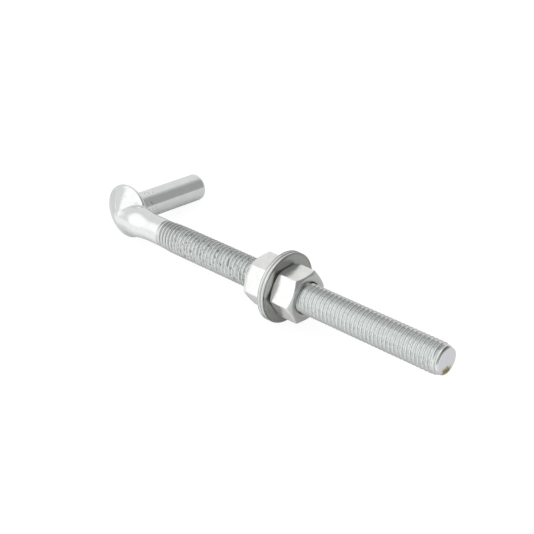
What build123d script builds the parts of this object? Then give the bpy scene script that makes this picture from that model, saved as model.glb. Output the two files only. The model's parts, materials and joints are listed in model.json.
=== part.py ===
"""Hook bolt (J-bolt hinge) with two hex nuts and two plain washers. Millimetres.

The pieces are drawn in the hook's own axes: X along the shank to its threaded tip, Y along the hinge
pin to its free end, origin where the two axes cross. At the end every piece is laid on a level surface.
"""
from build123d import *
import os
from math import acos, asin, atan2, cos, hypot, radians, sin, sqrt, tan

# ---- driving dimensions ----------------------------------------------------------------------

# Threaded shank, 5/8-11 UNC, lengths from the pin's axis
shank_length = 213.0
thread_crest_d = 15.4
thread_from = 34.0
thread_run_out = 11.0
tip_face_d = 13.0
tip_chamfer_length = 4.0
neck_d = 14.2
neck_mouth_d = 16.0
neck_mouth_x = 15.5
neck_straight_from = 24.0

# Hinge pin
pin_d = 14.8
pin_reach = 57.1
pin_end_edge_r = 1.6

# Forged head: a round collar, coaxial with the pin, whose back narrows into the neck's rounded heel.
# Each narrowing is a share of the whole way from the collar's radius to that of the back's end.
collar_d = 29.5
seat_y = 7.75
collar_edge_r = 3.2
back_shoulder_narrowing = 0.247
back_shoulder_y = 2.3
back_shoulder_x = 1.0
back_waist_narrowing = 0.586
back_waist_y = -1.35
back_waist_x = 2.9
heel_x = 4.6
back_end_above_heel = 2.3
back_end_inside_heel = 0.2
head_blend_r = 2.0

# Hex nuts; the plain bore stands for the nut's thread
nut_across_flats = 23.65
nut_height = 13.6
nut_chamfer_angle = 30.0
nut_face_d = 21.8
nut_bore_clearance = 0.05
nut_countersink_d = 17.0
nut_countersink_angle = 45.0
outer_nut_angle = 126.2
inner_nut_angle = 131.2

# Plain washers
washer_d = 36.0
washer_hole_clearance = 1.05
washer_thickness = 1.8
washer_edge_chamfer = 0.3
washer_gap = 0.1

# Where the two washers meet, from the pin's axis
clamp_x = 117.0

# ---- forged bolt: pin, collar, neck and threaded shank in one piece ---------------------------

crest_r = thread_crest_d / 2
neck_r = neck_d / 2
pin_r = pin_d / 2
collar_r = collar_d / 2
collar_edge_y = seat_y - collar_edge_r
back_end_y = back_end_above_heel - neck_r
back_end_r = sqrt(neck_r**2 - back_end_y**2) - back_end_inside_heel
back_taper = collar_r - back_end_r
quarter_circle = [1, cos(radians(45)), 1]

with BuildPart() as bolt:
    # collar and pin, turned about the pin's axis, both with a quarter-round edge
    with BuildSketch(Plane.XY):
        with BuildLine():
            seat = Line((0, collar_edge_y), (collar_r, collar_edge_y))
            edge = Bezier(
                (collar_r, collar_edge_y),
                (collar_r, seat_y),
                (collar_r - collar_edge_r, seat_y),
                weights=quarter_circle,
            )
            pin_end = Bezier(
                (pin_r, pin_reach - pin_end_edge_r),
                (pin_r, pin_reach),
                (pin_r - pin_end_edge_r, pin_reach),
                weights=quarter_circle,
            )
            Polyline(edge @ 1, (pin_r, seat_y), pin_end @ 0)
            Polyline(pin_end @ 1, (0, pin_reach), seat @ 0)
        make_face()
    revolve(axis=Axis.Y)

    # back of the collar, narrowing and drifting toward the shank
    with BuildSketch(Plane.XZ.offset(-collar_edge_y)):
        Circle(collar_r)
    with BuildSketch(Plane.XZ.offset(-back_shoulder_y)):
        with Locations((back_shoulder_x, 0)):
            Circle(collar_r - back_shoulder_narrowing * back_taper)
    with BuildSketch(Plane.XZ.offset(-back_waist_y)):
        with Locations((back_waist_x, 0)):
            Circle(collar_r - back_waist_narrowing * back_taper)
    with BuildSketch(Plane.XZ.offset(-back_end_y)):
        with Locations((heel_x, 0)):
            Circle(back_end_r)
    loft()

    # neck with its rounded heel and wide mouth, threaded length and chamfered tip
    with BuildSketch(Plane.XY):
        with BuildLine():
            heel = CenterArc((heel_x, 0), neck_r, 90, 90)
            mouth = Spline(
                heel @ 0,
                (neck_mouth_x, neck_mouth_d / 2),
                (neck_straight_from, neck_r),
                tangents=[(1, 0), (1, 0)],
            )
            Polyline(
                mouth @ 1,
                (thread_from, neck_r),
                (thread_from + thread_run_out, crest_r),
                (shank_length - tip_chamfer_length, crest_r),
                (shank_length, tip_face_d / 2),
                (shank_length, 0),
                heel @ 1,
            )
        make_face()
    revolve(axis=Axis.X)
    fillet(bolt.edges(Select.NEW), head_blend_r)

# ---- nuts and washers on the shank -----------------------------------------------------------

nut_bore_r = crest_r + nut_bore_clearance
nut_corner_r = nut_across_flats / sqrt(3)
nut_chamfer_x = (nut_corner_r - nut_face_d / 2) * tan(radians(nut_chamfer_angle))
countersink_x = (nut_countersink_d / 2 - nut_bore_r) * tan(radians(nut_countersink_angle))
washer_hole_r = crest_r + washer_hole_clearance
washer_off_centre = washer_hole_clearance - washer_gap


def hex_nut(inner_face_x, turn_angle):
    """Hex nut with both faces chamfered and the bore countersunk at both ends."""
    with BuildPart() as nut:
        with BuildSketch(Plane.YZ.offset(inner_face_x)):
            RegularPolygon(nut_corner_r, 6, rotation=turn_angle)
        extrude(amount=nut_height)
        with BuildSketch(Plane.XY):
            with BuildLine():
                Polyline(
                    (inner_face_x, nut_countersink_d / 2),
                    (inner_face_x, nut_face_d / 2),
                    (inner_face_x + nut_chamfer_x, nut_corner_r),
                    (inner_face_x + nut_height - nut_chamfer_x, nut_corner_r),
                    (inner_face_x + nut_height, nut_face_d / 2),
                    (inner_face_x + nut_height, nut_countersink_d / 2),
                    (inner_face_x + nut_height - countersink_x, nut_bore_r),
                    (inner_face_x + countersink_x, nut_bore_r),
                    close=True,
                )
            make_face()
        revolve(axis=Axis.X, mode=Mode.INTERSECT)
    return nut.part


def plain_washer(inner_face_x):
    """Flat round washer with its rim's corners taken off, hanging to one side by its hole's play."""
    with BuildPart() as washer:
        with BuildSketch(Plane.YZ.offset(inner_face_x)):
            with Locations((washer_off_centre, 0)):
                Circle(washer_d / 2)
                Circle(washer_hole_r, mode=Mode.SUBTRACT)
        extrude(amount=washer_thickness)
        rim_edges = washer.edges().filter_by(GeomType.CIRCLE).group_by(SortBy.RADIUS)[-1]
        chamfer(rim_edges, washer_edge_chamfer)
    return washer.part


pieces = {
    "bolt": bolt.part,
    "inner_nut": hex_nut(clamp_x - washer_thickness - nut_height, inner_nut_angle),
    "inner_washer": plain_washer(clamp_x - washer_thickness),
    "outer_washer": plain_washer(clamp_x),
    "outer_nut": hex_nut(clamp_x + washer_thickness, outer_nut_angle),
}

# ---- laid on a level surface -----------------------------------------------------------------

# Three round edges touch it: the collar's, the pin's end and the inner washer's rim. `up` is the
# surface's normal in the hook's axes; the pin's end dips by `roll`, the tip rises by `rise`.
reach = (pin_reach - pin_end_edge_r) - collar_edge_y
drop = (collar_r - collar_edge_r) - (pin_r - pin_end_edge_r)
roll = atan2(drop, reach) + asin((collar_edge_r - pin_end_edge_r) / hypot(drop, reach))
surface_depth = (
    (pin_reach - pin_end_edge_r) * sin(roll) + (pin_r - pin_end_edge_r) * cos(roll) + pin_end_edge_r
)
rim_r = washer_d / 2
rim_x = clamp_x - washer_thickness + washer_edge_chamfer
rim_depth = surface_depth - washer_off_centre * sin(roll)
rise = acos(rim_depth / hypot(rim_r, rim_x)) - atan2(rim_x, rim_r)
up = Vector(sin(rise), -sin(roll), sqrt(1 - sin(rise) ** 2 - sin(roll) ** 2))
along = (Vector(1, 0, 0) - up * up.X).normalized()
surface = Plane(origin=up * -surface_depth, x_dir=along, z_dir=up)
laid = {name: piece.moved(surface.location.inverse()) for name, piece in pieces.items()}
middle = Compound(list(laid.values())).bounding_box().center()

os.makedirs("parts", exist_ok=True)
for name, piece in laid.items():
    piece = piece.moved(Location((-middle.X, -middle.Y, 0)))
    piece.label = name
    export_step(piece, f"parts/{name}.step")
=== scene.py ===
"""Zinc-plated hook bolt for a gate hinge, dressed for a product photograph.

Metres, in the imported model's frame. The pieces are drawn in the hook's own axes, in millimetres: X along
the shank to its tip, Y along the hinge pin to its free end, origin where the two axes cross.
"""
import json
from math import atan2, cos, hypot, pi, radians, sin, tan

import bmesh
import bpy
import numpy as np
from mathutils import Matrix, Vector, noise


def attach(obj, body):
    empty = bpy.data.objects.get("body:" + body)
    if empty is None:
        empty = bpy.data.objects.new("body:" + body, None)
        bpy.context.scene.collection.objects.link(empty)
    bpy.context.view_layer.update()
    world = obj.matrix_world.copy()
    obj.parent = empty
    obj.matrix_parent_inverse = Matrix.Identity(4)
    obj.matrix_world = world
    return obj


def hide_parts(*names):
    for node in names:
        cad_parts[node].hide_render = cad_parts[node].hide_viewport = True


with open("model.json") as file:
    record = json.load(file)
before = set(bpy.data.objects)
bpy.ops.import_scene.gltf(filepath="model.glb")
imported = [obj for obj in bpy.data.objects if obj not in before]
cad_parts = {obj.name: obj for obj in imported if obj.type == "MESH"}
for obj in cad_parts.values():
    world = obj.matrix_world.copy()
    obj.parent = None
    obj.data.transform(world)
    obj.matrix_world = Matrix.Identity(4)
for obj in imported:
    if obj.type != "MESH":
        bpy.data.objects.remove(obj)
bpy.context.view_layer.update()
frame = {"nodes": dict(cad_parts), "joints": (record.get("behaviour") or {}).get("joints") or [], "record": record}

MM = 0.001

# ---- sizes, in millimetres ---------------------------------------------------------------------

# Tolerances for finding a solid's corners, joining loose vertices and finding an open edge
NEAR = 0.01
FORGING_WELD = 0.001
THREAD_WELD = 0.002
RIM_REACH = 0.1

# Forged head. Each wave is a size and a height. The crease is sharpened below an x and a y, and the
# pin has only a share of the waves.
FORGING_VOXEL = 0.42
FORGING_SMOOTHING = 3
FORGING_WAVES = ((9.0, 0.10), (3.0, 0.03))
CREASE_SMOOTHING = 30
CREASE_SHARPENING = 1.2
CREASE_BELOW = (15.0, 6.0)
PIN_FROM_Y = 8.5
PIN_WAVINESS = 0.2

# Neck, of the solid's radius. It grows truly round between two places, then joins the threaded shank.
NECK_R = 7.1
NECK_TRUE_X = (25.0, 29.0)
NECK_JOIN_X = 30.0
NECK_CAP_X = 32.0
JOIN_WIDTH = 0.4

# Thread. Its groove starts so far from where its crests do, and deepens over the second length. The
# flats, the roundings and the phase are shares of the pitch.
THREAD_RUN_OUT = 11.0
THREAD_START = (-1.0, 3.0)
THREAD_AROUND = 64
THREAD_PHASE = 0.23
SPARE_TURNS = 2
CREST_FLAT = 1 / 8
ROOT_FLAT = 1 / 4
CREST_ROUNDING = 0.02
ROOT_ROUNDING = 0.04
TIP_EDGE = 0.25
TIP_FACE_RINGS = (0.7, 0.35)

# Nuts
NUT_EDGE = 0.18
NUT_CORNER_SHARPNESS = 90
NUT_AROUND = 288
NUT_WALL_RINGS = 9
NUT_CHAMFER_RINGS = (0.0, 0.35, 0.7, 1.0)

# Washers
WASHER_AROUND = 192
WASHER_EDGE = 0.35
WASHER_EDGE_RINGS = 5
WASHER_FACE_RINGS = 6

# ---- finish: colours, lines and grains ---------------------------------------------------------

# Colours
THREAD_COLOUR = (0.79, 0.815, 0.805, 1)
# painted shade for the thread's dark lines, and also the colour of its wear
GROOVE_SHADE_AND_WEAR_COLOUR = (0.42, 0.44, 0.43, 1)
DIRT_COLOUR = (0.16, 0.16, 0.15, 1)
TIP_COLOUR = (0.80, 0.81, 0.84, 1)
# painted shade on one side of the tip's rim
TIP_RIM_SHADE_COLOUR = (0.25, 0.26, 0.25, 1)
# painted shade in the countersinks and bores
SINK_SHADE_COLOUR = (0.20, 0.205, 0.20, 1)
PIT_COLOUR = (0.2, 0.2, 0.19, 1)
STAIN_COLOURS = ((0.20, 0.16, 0.06, 1), (0.62, 0.52, 0.26, 1))

# Dark lines of painted shade in the thread: their edges, as shares of the groove's depth, and how much they darken
LAP_LINE = ((0.06, 0.18), (0.46, 0.3))
LAP_SHARE = 0.5
ROOT_LINE = (0.88, 0.98)
ROOT_SHARE = 0.65
FIRST_TURNS_LINE = (0.2, 0.6)
FIRST_TURNS_SHARE = 0.75

# Stretches of the bolt, in millimetres: each pair of edges goes from none of a finish to all of it
THREAD_STRETCH = ((38.0, 44.0),)
FIRST_TURNS_STRETCH = ((33.0, 36.0), (50.0, 43.0))
WEAR_STRETCH = ((44.0, 50.0),)
REAR_STRETCH = ((36.0, 52.0), (104.0, 96.0))
PIT_STRETCH = ((8.0, 9.5), (28.0, 20.0))

# The same measured from the tip, and the side of the tip's rim that gets painted shade
TIP_FACE_STRETCH = ((-0.2, -0.05),)
TIP_RIM_STRETCH = ((-1.6, -1.1), (-0.15, -0.3))
TIP_RIM_AT = (0.0, -0.55, 0.83)
TIP_RIM_EDGE = (3.4, 5.4)

# Grains: size in millimetres, detail, and stretch by axis. A level pair goes from none to all.
CLOUD_GRAIN = (5.0, 4.0)
CLOUD_LEVELS = (0.35, 0.65)
SHEEN_GRAIN = (5 / 3, 3.0)
SHEEN_LEVELS = (0.3, 0.7)
SKIN_GRAIN = (0.5, 3.0)
DRAWN_GRAIN = (0.25, 3.0, (40, 1, 1))
DRAWN_LEVELS = (0.35, 0.7)
WEAR_GRAIN = (0.7, 2.0, (0.6, 1.5, 1.5))
WEAR_LEVELS = (0.4, 0.7)
WEAR_SHARE = 0.4
DIRT_GRAIN = (1.3, 3.0, (0.6, 1.7, 1.7))
DIRT_LEVELS = (0.49, 0.68)
PIT_GRAIN = (1.2, 1.0)
PIT_LEVELS = (0.765, 0.80)
PIT_GATHERING = 0.11
PIT_SHARE = 0.9

# Stain on the tip's face: middle (y, z), and how fast it fades along each axis
STAIN_AT = (0.0, -4.7)
STAIN_FADING = (0.5, 0.22, 0.40)
STAIN_GRAIN = (0.9, 3.0)
STAIN_LEVELS = (0.9, 1.7)
STAIN_TINT_LEVELS = (0.8, 1.4)
STAIN_SHARE = 0.95

# Roughness between the neck and the nuts, how squarely an end faces along the shank for its painted
# shade, the distance from the shank's axis inside which a hole gets painted shade, and the height of the fine
# grain
REAR_ROUGHNESS = 0.42
FACING_LEVELS = (0.4, 0.8)
SINK_EDGE = (8.7, 8.0)
BUMP_HEIGHT = 0.08

# ---- studio and camera: levels and places ------------------------------------------------------

# Studio: levels, and directions in the hook's axes with the cosines where their edges lie
STUDIO_PLAIN = 0.84
STUDIO_FRONT = 1.25
STUDIO_FRONT_AT = (0.15, -0.82, 0.55)
STUDIO_FRONT_EDGE = (0.36, 0.62)
STUDIO_DARK = 0.40
STUDIO_DARK_AT = (0.78, 0.50, 0.36)
STUDIO_DARK_EDGE = (0.40, 0.85)

# Floor: half its width in metres, what it reflects to the part and to the camera, its glow to the
# camera, and its glow in the metal behind the shank and in front of it, over an edge in millimetres
FLOOR_HALF = 3.0
FLOOR_TO_PART = 0.7
FLOOR_TO_CAMERA = 0.16
FLOOR_GLOW = 0.90
FLOOR_GLOSS = (0.1, 0.4)
FLOOR_GLOSS_EDGE = 25.0

# Camera, in the hook's axes
CAMERA_AT = (476.8, -424.2, 280.9)
CAMERA_LOOKS_AT = (102.93, 3.06, 4.74)
CAMERA_ROLL = 3.12
CAMERA_NEAR = 10.0
SENSOR_WIDTH = 36.0
LENS = 87.36

# ---- the frame in the hook's axes --------------------------------------------------------------

mounts = {m["name"]: m for m in frame["record"]["mounts"]}
joints = {j["name"]: j for j in frame["joints"]}
PITCH = 2 * pi * frame["record"]["behaviour"]["couplings"][0]["ratio"] / MM
CREST_R = mounts["threaded_shank"]["dims"]["r_mm"]
THREAD_DEPTH = (1 - CREST_FLAT - ROOT_FLAT) / 2 / tan(radians(30)) * PITCH


def hook_axes():
    """Matrix from the hook's axes, in millimetres, to the frame, in metres."""
    shank = Vector(mounts["threaded_shank"]["axis"]).normalized()
    pin = Vector(mounts["hinge_pin"]["axis"]).normalized()
    on_shank = Vector(mounts["threaded_shank"]["pos_m"])
    on_pin = Vector(mounts["hinge_pin"]["pos_m"])
    origin = on_pin - pin * (on_pin - on_shank).dot(pin)
    up = shank.cross(pin)
    turn = Matrix((shank, pin, up)).transposed().to_4x4()
    return Matrix.Translation(origin) @ turn @ Matrix.Scale(MM, 4)


HOOK = hook_axes()


def hook_points(node):
    """A CAD node's vertices in the hook's axes, and their distance from the shank's axis."""
    to_hook = HOOK.inverted()
    points = np.array([to_hook @ v.co for v in frame["nodes"][node].data.vertices])
    return points, np.hypot(points[:, 1], points[:, 2])


# ---- mesh helpers ------------------------------------------------------------------------------


def smoothstep(t):
    """0 to 1 over the same range, easing in and out."""
    t = np.clip(t, 0.0, 1.0)
    return t * t * (3 - 2 * t)


def add_band(bm, low, high):
    """Quads between two closed rings of as many vertices."""
    for j in range(len(low)):
        k = (j + 1) % len(low)
        bm.faces.new((low[j], low[k], high[k], high[j]))


def add_rings(bm, points):
    """A closed skin from rings of points, shaped (rings, around, 3), the last joined to the first."""
    rings = [[bm.verts.new(p) for p in ring] for ring in points]
    for i, ring in enumerate(rings):
        add_band(bm, ring, rings[(i + 1) % len(rings)])


def add_piece(name, bm, body, node, material):
    """A smooth piece from a mesh in the hook's axes. It stands for a CAD node and rides on its body."""
    bmesh.ops.recalc_face_normals(bm, faces=bm.faces)
    mesh = bpy.data.meshes.new(name)
    bm.to_mesh(mesh)
    bm.free()
    places = np.empty(len(mesh.vertices) * 3, dtype=np.float32)
    mesh.vertices.foreach_get("co", places)
    mesh.attributes.new("hook", "FLOAT_VECTOR", "POINT").data.foreach_set("vector", places)
    mesh.transform(HOOK)
    mesh.shade_smooth()
    mesh.materials.append(material)
    obj = bpy.data.objects.new(name, mesh)
    bpy.context.scene.collection.objects.link(obj)
    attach(obj, body)
    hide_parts(node)
    return obj


# ---- bolt --------------------------------------------------------------------------------------


def thread_rows():
    """Places over one pitch, as shares of it, where the 60 degree thread's form turns."""
    crest, root = CREST_FLAT / 2, (1 - ROOT_FLAT) / 2
    half = [crest + k * CREST_ROUNDING for k in (-1, 1, 2)]
    half += [root + k * ROOT_ROUNDING for k in (-2, -1, 1)]
    return np.array([*half, *(1 - h for h in reversed(half))])


def groove_depth(phase):
    """Share of the thread's depth at a place over the pitch: 0 on the crest, 1 at the root."""
    from_crest = np.abs((phase + 0.5) % 1 - 0.5)
    return np.clip((from_crest - CREST_FLAT / 2) / ((1 - CREST_FLAT - ROOT_FLAT) / 2), 0, 1)


def add_threaded_shank(bm, x_to, thread_from, face_r, chamfer_from):
    """The shank's skin from the neck to the tip. Its rows follow the thread's helix."""
    form = thread_rows()
    turns = int((x_to - NECK_JOIN_X) / PITCH) + 2 * SPARE_TURNS
    phase = (np.arange(turns)[:, None] + form).reshape(-1, 1)
    rows = len(phase)
    column = np.arange(THREAD_AROUND)[None, :]
    x = NECK_JOIN_X + PITCH * (phase + THREAD_PHASE + column / THREAD_AROUND - SPARE_TURNS)
    x = np.clip(x, NECK_JOIN_X, x_to)
    angle = 2 * pi * column / THREAD_AROUND + 0 * x

    full = smoothstep((x - thread_from) / THREAD_RUN_OUT)
    started = smoothstep((x - thread_from - THREAD_START[0]) / THREAD_START[1])
    crest = NECK_R + (CREST_R - NECK_R) * full
    r = crest - THREAD_DEPTH * started * groove_depth(phase)
    chamfer = face_r + (CREST_R - face_r) * (x_to - x) / (x_to - chamfer_from)
    r = np.where(x >= x_to, face_r, np.minimum(r, chamfer))
    groove = (crest - r) / THREAD_DEPTH

    layer = bm.verts.layers.float.new("groove")
    places = np.stack([x, r * np.cos(angle), r * np.sin(angle)], -1).reshape(-1, 3)
    verts = []
    for place, depth in zip(places, groove.flat):
        vert = bm.verts.new(place)
        vert[layer] = depth
        verts.append(vert)
    for i in range(rows - 1):
        for j in range(THREAD_AROUND):
            here = i * THREAD_AROUND + j
            beside = here + 1 if j < THREAD_AROUND - 1 else (i + len(form)) * THREAD_AROUND
            if beside + THREAD_AROUND < len(verts):
                corners = here, beside, beside + THREAD_AROUND, here + THREAD_AROUND
                bm.faces.new([verts[c] for c in corners])
    bmesh.ops.remove_doubles(bm, verts=bm.verts, dist=THREAD_WELD)
    bmesh.ops.dissolve_degenerate(bm, edges=bm.edges, dist=THREAD_WELD)


def open_rim(bm, x):
    """The vertices of the mesh's open edge at x, in order of angle round the shank."""
    rim = {v for e in bm.edges if e.is_boundary for v in e.verts if abs(v.co.x - x) < RIM_REACH}
    return sorted(rim, key=lambda v: atan2(v.co.z, v.co.y))


def add_tip_face(bm, x_to, face_r):
    """The cut end: a flat face whose edge is just broken."""
    rim = open_rim(bm, x_to)
    ring = rim
    for r in (face_r - TIP_EDGE, *(share * face_r for share in TIP_FACE_RINGS)):
        inner = [bm.verts.new((x_to, v.co.y * r / face_r, v.co.z * r / face_r)) for v in rim]
        add_band(bm, ring, inner)
        ring = inner
    bm.faces.new(ring)


def cut_across(bm, x, cap):
    """Takes away what lies beyond x along the shank, and closes the cut if asked."""
    geometry = bm.verts[:] + bm.edges[:] + bm.faces[:]
    cut = bmesh.ops.bisect_plane(bm, geom=geometry, plane_co=(x, 0, 0), plane_no=(1, 0, 0), clear_outer=True)
    if cap:
        edges = [e for e in cut["geom_cut"] if isinstance(e, bmesh.types.BMEdge)]
        bmesh.ops.edgeloop_fill(bm, edges=edges)


def sharpen_crease(bm, soft):
    """Pushes the hollow between collar and neck in, by what a heavily relaxed copy would fill."""
    for v, relaxed in zip(bm.verts, soft.vertices):
        lift = (relaxed.co - v.co).dot(v.normal)
        if lift > 0 and v.co.x < CREASE_BELOW[0] and v.co.y < CREASE_BELOW[1]:
            v.co -= v.normal * lift * CREASE_SHARPENING


def wave_skin(bm):
    """Raises and sinks the skin in faint waves, fainter on the pin."""
    for v in bm.verts:
        share = PIN_WAVINESS if v.co.y > PIN_FROM_Y else 1.0
        lift = sum(height * noise.noise(v.co / size) for size, height in FORGING_WAVES)
        v.co += v.normal * lift * share


def true_neck(bm):
    """Brings the neck's end to a true cylinder, which the shank's skin continues."""
    low, high = NECK_TRUE_X
    for v in bm.verts:
        if v.co.x > low:
            growth = NECK_R / hypot(v.co.y, v.co.z) - 1
            growth *= min(1.0, (v.co.x - low) / (high - low))
            v.co += Vector((0, v.co.y, v.co.z)) * growth


def forged_head():
    """The bolt's pin, collar and neck as an even mesh with the faint waves of a forging."""
    bm = bmesh.new()
    bm.from_mesh(frame["nodes"]["bolt"].data)
    bmesh.ops.transform(bm, matrix=HOOK.inverted(), verts=bm.verts)
    bmesh.ops.remove_doubles(bm, verts=bm.verts, dist=FORGING_WELD)
    cut_across(bm, NECK_CAP_X, cap=True)
    mesh = bpy.data.meshes.new("forging")
    bm.to_mesh(mesh)
    form = bpy.data.objects.new("forging", mesh)
    bpy.context.scene.collection.objects.link(form)
    remesh = form.modifiers.new("even", "REMESH")
    remesh.mode = "VOXEL"
    remesh.voxel_size = FORGING_VOXEL
    relax = form.modifiers.new("relax", "SMOOTH")
    relax.iterations = FORGING_SMOOTHING
    bm.clear()
    bm.from_object(form, bpy.context.evaluated_depsgraph_get())
    bm.normal_update()
    relax.iterations = CREASE_SMOOTHING
    bpy.context.view_layer.update()
    sharpen_crease(bm, form.evaluated_get(bpy.context.evaluated_depsgraph_get()).data)
    bpy.data.objects.remove(form)
    wave_skin(bm)
    true_neck(bm)
    cut_across(bm, NECK_JOIN_X - JOIN_WIDTH, cap=False)
    return bm


def add_mesh(bm, other):
    """Adds another mesh's vertices and faces."""
    copies = {v: bm.verts.new(v.co) for v in other.verts}
    for face in other.faces:
        bm.faces.new([copies[v] for v in face.verts])


def zip_rims(bm, one, two):
    """Closes the gap between two open rims of different counts with triangles."""

    def angle(rim, k):
        place = rim[k % len(rim)].co
        return atan2(place.z, place.y) + 2 * pi * (k // len(rim))

    i = j = 0
    while i < len(one) or j < len(two):
        a, b = one[i % len(one)], two[j % len(two)]
        if j == len(two) or i < len(one) and angle(one, i + 1) < angle(two, j + 1):
            i += 1
            bm.faces.new((a, one[i % len(one)], b))
        else:
            j += 1
            bm.faces.new((a, two[j % len(two)], b))


def build_bolt(material):
    """The whole bolt: threaded shank with its tip, and the forged head sewn on at the neck."""
    points, r = hook_points("bolt")
    x = points[:, 0]
    tip = x.max()
    face_r = r[x > tip - NEAR].max()
    chamfer_from = x[(r > CREST_R - NEAR) & (x > tip / 2)].max()
    inner_face = hook_points("inner_nut")[0][:, 0].min()
    full_thread_from = inner_face + joints["inner_travel"]["range_m"][0] / MM
    bm = bmesh.new()
    add_threaded_shank(bm, tip, full_thread_from - THREAD_RUN_OUT, face_r, chamfer_from)
    add_tip_face(bm, tip, face_r)
    shank_rim = open_rim(bm, NECK_JOIN_X)
    head = forged_head()
    add_mesh(bm, head)
    head.free()
    zip_rims(bm, shank_rim, open_rim(bm, NECK_JOIN_X - JOIN_WIDTH))
    add_piece("forged_bolt", bm, "bolt", "bolt", material)


# ---- nuts --------------------------------------------------------------------------------------


def build_nut(node, material):
    """Hex nut with rounded corners, chamfered and countersunk at both ends."""
    points, r = hook_points(node)
    x = points[:, 0]
    low, high = x.min(), x.max()
    corner_r, bore_r = r.max(), r.min()
    on_face = r[x < low + NEAR]
    face_r, sink_r = on_face.max(), on_face.min()
    slope = (x[r > corner_r - NEAR].min() - low) / (corner_r - face_r)
    sink = x[r < bore_r + NEAR].min() - low
    corner = points[r.argmax()]
    flat_angle = atan2(corner[2], corner[1]) + pi / 6

    angle = 2 * pi * np.arange(NUT_AROUND) / NUT_AROUND
    spread = sum(np.abs(np.cos(angle - flat_angle - k * pi / 3)) ** NUT_CORNER_SHARPNESS for k in range(3))
    side_r = corner_r * cos(pi / 6) * spread ** (-1 / NUT_CORNER_SHARPNESS)

    level = np.ones(NUT_AROUND)
    end = [(sink * level, bore_r * level), (NUT_EDGE * level, (sink_r - NUT_EDGE) * level)]
    for face_ring in (sink_r + NUT_EDGE, (sink_r + face_r) / 2, face_r - NUT_EDGE):
        end.append((0 * level, face_ring * level))
    for share in NUT_CHAMFER_RINGS:
        r = (face_r + NUT_EDGE) + (side_r - face_r - 2 * NUT_EDGE) * share
        end.append((slope * (r - face_r), r))
    wall_from = slope * (side_r - face_r) + NUT_EDGE
    profile = [(low + depth, r) for depth, r in end]
    for share in np.linspace(0, 1, NUT_WALL_RINGS):
        profile.append((low + wall_from + (high - low - 2 * wall_from) * share, side_r))
    profile += [(high - depth, r) for depth, r in reversed(end)]
    rings = [np.stack([x, r * np.cos(angle), r * np.sin(angle)], -1) for x, r in profile]
    bm = bmesh.new()
    add_rings(bm, np.array(rings))
    add_piece("hex_" + node, bm, node, node, material)


# ---- washers -----------------------------------------------------------------------------------


def build_washer(node, material):
    """Stamped washer: its edges are rounded and it hangs off the shank's centre by its play."""
    points, _ = hook_points(node)
    low, high = points[:, 0].min(), points[:, 0].max()
    centre = (points.max(axis=0) + points.min(axis=0)) / 2
    r = np.hypot(points[:, 1] - centre[1], points[:, 2] - centre[2])
    rim_r, hole_r = r.max(), r.min()
    edge = WASHER_EDGE
    bend = [(edge * (1 - cos(t)), edge * (1 - sin(t))) for t in np.linspace(0, pi / 2, WASHER_EDGE_RINGS)]
    profile = [(low + back, rim_r - inward) for inward, back in bend]
    profile += [(high - back, rim_r - inward) for inward, back in reversed(bend)]
    faces = np.linspace(rim_r - edge, hole_r + edge, WASHER_FACE_RINGS + 2)[1:-1]
    profile += [(high, r) for r in faces]
    profile += [(high - back, hole_r + inward) for inward, back in reversed(bend)]
    profile += [(low + back, hole_r + inward) for inward, back in bend]
    profile += [(low, r) for r in reversed(faces)]
    angle = 2 * pi * np.arange(WASHER_AROUND) / WASHER_AROUND
    rings = [
        np.stack([x + 0 * angle, centre[1] + r * np.cos(angle), centre[2] + r * np.sin(angle)], -1)
        for x, r in profile
    ]
    bm = bmesh.new()
    add_rings(bm, np.array(rings))
    add_piece("plain_" + node, bm, node, node, material)


# ---- materials ---------------------------------------------------------------------------------


def add_node(tree, kind, inputs=(), **settings):
    """Adds a node, with its settings, and sets or links its inputs by name or number."""
    node = tree.nodes.new(kind)
    for key, value in settings.items():
        setattr(node, key, value)
    for key, value in dict(inputs).items():
        if isinstance(value, bpy.types.NodeSocket):
            tree.links.new(value, node.inputs[key])
        else:
            node.inputs[key].default_value = value
    return node


def grain(tree, place, size, detail=2.0, stretch=(1, 1, 1)):
    """Noise whose features are `size` millimetres, stretched by axis, from 0 to 1."""
    scale = [1 / (size * s) for s in stretch]
    mapping = add_node(tree, "ShaderNodeMapping", {"Vector": place, "Scale": scale})
    inputs = {"Vector": mapping.outputs[0], "Scale": 1.0, "Detail": detail}
    return add_node(tree, "ShaderNodeTexNoise", inputs).outputs["Fac"]


def span(tree, value, low, high, to_low=0.0, to_high=1.0):
    """Maps low..high of a value to to_low..to_high, smoothly."""
    inputs = {"Value": value, "From Min": low, "From Max": high, "To Min": to_low, "To Max": to_high}
    return add_node(tree, "ShaderNodeMapRange", inputs, interpolation_type="SMOOTHSTEP").outputs[0]


def blend(tree, share, one, two):
    """Mixes two colours."""
    inputs = {0: share, 6: one, 7: two}
    return add_node(tree, "ShaderNodeMix", inputs, data_type="RGBA").outputs[2]


def combine(tree, operation, one, two):
    """The result of a Math node on two values."""
    return add_node(tree, "ShaderNodeMath", {0: one, 1: two}, operation=operation).outputs[0]


def multiply(tree, one, two):
    """The product of two values."""
    return combine(tree, "MULTIPLY", one, two)


def vector_math(tree, operation, *vectors):
    """The outputs of a Vector Math node."""
    return add_node(tree, "ShaderNodeVectorMath", dict(enumerate(vectors)), operation=operation).outputs


def dot(tree, vector, direction):
    """How far a vector reaches along a direction."""
    return vector_math(tree, "DOT_PRODUCT", vector, direction)["Value"]


def grey(level):
    """A colour without a hue."""
    return (level, level, level, 1)


def turned(direction):
    """A direction in the hook's axes, turned into the frame."""
    return (HOOK.to_3x3() @ Vector(direction)).normalized()


def new_material(name):
    """A material, its nodes, its shader, and the place on the piece in the hook's axes."""
    material = bpy.data.materials.new(name)
    material.use_nodes = True
    tree = material.node_tree
    place = add_node(tree, "ShaderNodeAttribute", attribute_name="hook").outputs["Vector"]
    return material, tree, tree.nodes["Principled BSDF"], place


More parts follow.
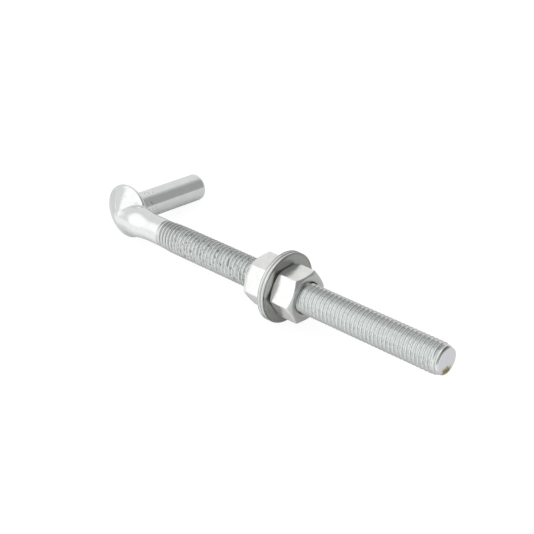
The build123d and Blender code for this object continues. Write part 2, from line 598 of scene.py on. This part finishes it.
def stretch_share(tree, place, axis, stretch, start=0.0):
    """1 inside a stretch along an axis, measured from a start, fading to 0 across its pairs of edges."""
    value = add_node(tree, "ShaderNodeSeparateXYZ", {0: place}).outputs[axis]
    shares = [span(tree, value, start + none, start + full) for none, full in stretch]
    total = shares[0]
    for share in shares[1:]:
        total = multiply(tree, total, share)
    return total


def paint_groove_shade(tree, place, groove, colour):
    """Painted shade in dark lines that follow the thread: a lap on its flanks, its root, and its first turns'
    grooves.
    """
    outer, inner = LAP_LINE
    lap = multiply(tree, span(tree, groove, *outer, 0.0, LAP_SHARE), span(tree, groove, *inner))
    root = span(tree, groove, *ROOT_LINE, 0.0, ROOT_SHARE)
    first_turns = stretch_share(tree, place, "X", FIRST_TURNS_STRETCH)
    first_grooves = span(tree, groove, *FIRST_TURNS_LINE, 0.0, FIRST_TURNS_SHARE)
    for share in (lap, root, multiply(tree, first_turns, first_grooves)):
        colour = blend(tree, share, colour, GROOVE_SHADE_AND_WEAR_COLOUR)
    return colour


def paint_rim_shade(tree, place, tip, colour):
    """Painted shade: the rim behind the tip's face is dark on its upper left."""
    behind = stretch_share(tree, place, "X", TIP_RIM_STRETCH, tip)
    side = span(tree, dot(tree, place, TIP_RIM_AT), *TIP_RIM_EDGE)
    return blend(tree, multiply(tree, behind, side), colour, TIP_RIM_SHADE_COLOUR)


def thread_finish(tree, place, tip, colour, rough):
    """The thread is lined with painted shade, worn, dull and dirty between the neck and the nuts, shaded on its
    tip's rim, and cut at the tip.
    """
    groove = add_node(tree, "ShaderNodeAttribute", attribute_name="groove").outputs["Fac"]
    threaded = stretch_share(tree, place, "X", THREAD_STRETCH)
    colour = blend(tree, threaded, colour, THREAD_COLOUR)
    # painted shade along the thread's lap, root and first grooves
    colour = paint_groove_shade(tree, place, groove, colour)
    # painted shade on the upper left of the tip's rim
    colour = paint_rim_shade(tree, place, tip, colour)
    worn = span(tree, grain(tree, place, *WEAR_GRAIN), *WEAR_LEVELS, 0.0, WEAR_SHARE)
    worn = multiply(tree, worn, stretch_share(tree, place, "X", WEAR_STRETCH))
    colour = blend(tree, worn, colour, GROOVE_SHADE_AND_WEAR_COLOUR)
    face = stretch_share(tree, place, "X", TIP_FACE_STRETCH, tip)
    colour = blend(tree, face, colour, TIP_COLOUR)
    rear = stretch_share(tree, place, "X", REAR_STRETCH)
    rough = combine(tree, "MAXIMUM", rough, multiply(tree, rear, REAR_ROUGHNESS))
    specks = span(tree, grain(tree, place, *DIRT_GRAIN), *DIRT_LEVELS)
    dirt = multiply(tree, specks, multiply(tree, rear, groove))
    return blend(tree, dirt, colour, DIRT_COLOUR), rough


def pits(tree, place, colour):
    """Small dark pits where the pin leaves the collar, and very few elsewhere."""
    base = stretch_share(tree, place, "Y", PIT_STRETCH)
    gathered = span(tree, base, 0.0, 1.0, 0.0, PIT_GATHERING)
    spots = combine(tree, "ADD", grain(tree, place, *PIT_GRAIN), gathered)
    return blend(tree, span(tree, spots, *PIT_LEVELS, 0.0, PIT_SHARE), colour, PIT_COLOUR)


def stain(tree, place, tip, colour):
    """Yellow-brown stain at the low edge of the tip's face."""
    offset = vector_math(tree, "SUBTRACT", place, (tip, *STAIN_AT))[0]
    faded = vector_math(tree, "MULTIPLY", offset, STAIN_FADING)[0]
    away = vector_math(tree, "LENGTH", faded)["Value"]
    ragged = combine(tree, "ADD", away, grain(tree, place, *STAIN_GRAIN))
    tint = blend(tree, span(tree, ragged, *STAIN_TINT_LEVELS), *STAIN_COLOURS)
    return blend(tree, span(tree, ragged, *STAIN_LEVELS, STAIN_SHARE, 0.0), colour, tint)


def facing_along(tree):
    """1 where the surface faces along the shank either way, 0 on its sides."""
    normal = add_node(tree, "ShaderNodeNewGeometry").outputs["Normal"]
    along = add_node(tree, "ShaderNodeMath", {0: dot(tree, normal, turned((1, 0, 0)))}, operation="ABSOLUTE")
    return span(tree, along.outputs[0], *FACING_LEVELS)


def paint_end_and_sink_shade(tree, place, colour, end_shade):
    """Paints shade on the faces across the shank, and darker shade in the countersinks and bores."""
    colour = blend(tree, facing_along(tree), colour, (*end_shade, 1))
    from_axis = vector_math(tree, "LENGTH", vector_math(tree, "MULTIPLY", place, (0, 1, 1))[0])["Value"]
    # painted shade in the countersinks and bores, inside a distance from the shank's axis
    return blend(tree, span(tree, from_axis, *SINK_EDGE), colour, SINK_SHADE_COLOUR)


def zinc(name, light, dark, roughness, bumps, lines=0.0, end_shade=None, threaded=False):
    """Zinc plate: clouded brightness, fine grain, drawn lines along the shank, and painted shade on the ends,
    where asked.
    """
    material, tree, shader, place = new_material(name)
    clouds = span(tree, grain(tree, place, *CLOUD_GRAIN), *CLOUD_LEVELS)
    colour = blend(tree, clouds, (*dark, 1), (*light, 1))
    rough = span(tree, grain(tree, place, *SHEEN_GRAIN), *SHEEN_LEVELS, *roughness)
    height = grain(tree, place, *SKIN_GRAIN)
    if threaded:
        tip = hook_points("bolt")[0][:, 0].max()
        colour, rough = thread_finish(tree, place, tip, colour, rough)
        colour = stain(tree, place, tip, pits(tree, place, colour))
    if lines:
        height = grain(tree, place, *DRAWN_GRAIN)
        colour = blend(tree, span(tree, height, *DRAWN_LEVELS, 0.0, lines), colour, (*dark, 1))
    # painted shade on the faces across the shank, darker in the countersinks and bores
    if end_shade:
        colour = paint_end_and_sink_shade(tree, place, colour, end_shade)
    relief = {"Strength": bumps, "Distance": BUMP_HEIGHT * MM, "Height": height}
    bump = add_node(tree, "ShaderNodeBump", relief)
    tree.links.new(colour, shader.inputs["Base Color"])
    tree.links.new(rough, shader.inputs["Roughness"])
    tree.links.new(bump.outputs[0], shader.inputs["Normal"])
    shader.inputs["Metallic"].default_value = 1.0
    return material


bolt_plate = zinc(
    "bolt_plate",
    light=(0.80, 0.82, 0.81),
    dark=(0.76, 0.785, 0.775),
    roughness=(0.12, 0.18),
    bumps=0.25,
    threaded=True,
)
nut_plate = zinc(
    "nut_plate",
    light=(0.90, 0.90, 0.89),
    dark=(0.82, 0.82, 0.81),
    roughness=(0.18, 0.26),
    bumps=0.25,
    lines=0.4,
    # painted shade on the nut's faces across the shank
    end_shade=(0.58, 0.59, 0.58),
)
washer_plate = zinc(
    "washer_plate",
    light=(0.84, 0.85, 0.83),
    dark=(0.74, 0.75, 0.73),
    roughness=(0.34, 0.40),
    bumps=0.05,
    # painted shade on the washer's faces across the shank
    end_shade=(0.40, 0.41, 0.39),
)
build_bolt(bolt_plate)
for side in ("inner", "outer"):
    build_nut(side + "_nut", nut_plate)
    build_washer(side + "_washer", washer_plate)

# ---- stage: floor, light and camera ------------------------------------------------------------


def add_floor():
    """A white floor under the part. It shows plain white, but for the part's shadow."""
    bm = bmesh.new()
    bmesh.ops.create_grid(bm, x_segments=2, y_segments=2, size=FLOOR_HALF)
    mesh = bpy.data.meshes.new("floor")
    bm.to_mesh(mesh)
    bm.free()
    material = bpy.data.materials.new("floor_white")
    material.use_nodes = True
    tree = material.node_tree
    tree.nodes.clear()
    ray = add_node(tree, "ShaderNodeLightPath").outputs
    tone = blend(tree, ray["Is Camera Ray"], grey(FLOOR_TO_PART), grey(FLOOR_TO_CAMERA))
    paint = add_node(tree, "ShaderNodeBsdfDiffuse", {"Color": tone})
    front = turned((0, -1, 0))
    spot = add_node(tree, "ShaderNodeNewGeometry").outputs["Position"]
    edge = HOOK.translation.dot(front)
    gloss = span(tree, dot(tree, spot, front), edge, edge + FLOOR_GLOSS_EDGE * MM, *FLOOR_GLOSS)
    seen = multiply(tree, ray["Is Camera Ray"], FLOOR_GLOW)
    strength = combine(tree, "ADD", seen, multiply(tree, ray["Is Glossy Ray"], gloss))
    glow = add_node(tree, "ShaderNodeEmission", {"Color": grey(1), "Strength": strength})
    both = add_node(tree, "ShaderNodeAddShader", {0: paint.outputs[0], 1: glow.outputs[0]})
    add_node(tree, "ShaderNodeOutputMaterial", {"Surface": both.outputs[0]})
    mesh.materials.append(material)
    floor = bpy.data.objects.new("floor", mesh)
    bpy.context.scene.collection.objects.link(floor)


def set_world():
    """The studio round the part: bright at the front left, dark at the right, white to the camera."""
    world = bpy.data.worlds.new("studio")
    bpy.context.scene.world = world
    world.use_nodes = True
    tree = world.node_tree
    sky = add_node(tree, "ShaderNodeTexCoord").outputs["Generated"]
    front = span(tree, dot(tree, sky, turned(STUDIO_FRONT_AT)), *STUDIO_FRONT_EDGE)
    right = span(tree, dot(tree, sky, turned(STUDIO_DARK_AT)), *STUDIO_DARK_EDGE)
    seen = add_node(tree, "ShaderNodeLightPath").outputs["Is Camera Ray"]
    level = blend(tree, front, grey(STUDIO_PLAIN), grey(STUDIO_FRONT))
    level = blend(tree, right, level, grey(STUDIO_DARK))
    level = blend(tree, seen, level, grey(1))
    background = tree.nodes["Background"]
    tree.links.new(level, background.inputs["Color"])
    background.inputs["Strength"].default_value = 1.0


def add_camera():
    """The camera, where the photograph was taken from."""
    camera = bpy.data.cameras.new("camera")
    camera.sensor_width = SENSOR_WIDTH
    camera.lens = LENS
    camera.clip_start = CAMERA_NEAR * MM
    obj = bpy.data.objects.new("camera", camera)
    bpy.context.scene.collection.objects.link(obj)
    turn = HOOK.to_3x3().normalized()
    back = (Vector(CAMERA_AT) - Vector(CAMERA_LOOKS_AT)).normalized()
    right = Vector((0, 0, 1)).cross(back).normalized()
    right = Matrix.Rotation(radians(CAMERA_ROLL), 3, back) @ right
    axes = Matrix((right, back.cross(right), back)).transposed()
    obj.matrix_world = Matrix.Translation(HOOK @ Vector(CAMERA_AT)) @ (turn @ axes).to_4x4()
    bpy.context.scene.camera = obj


add_floor()
set_world()
add_camera()
bpy.context.scene.view_settings.view_transform = "Standard"
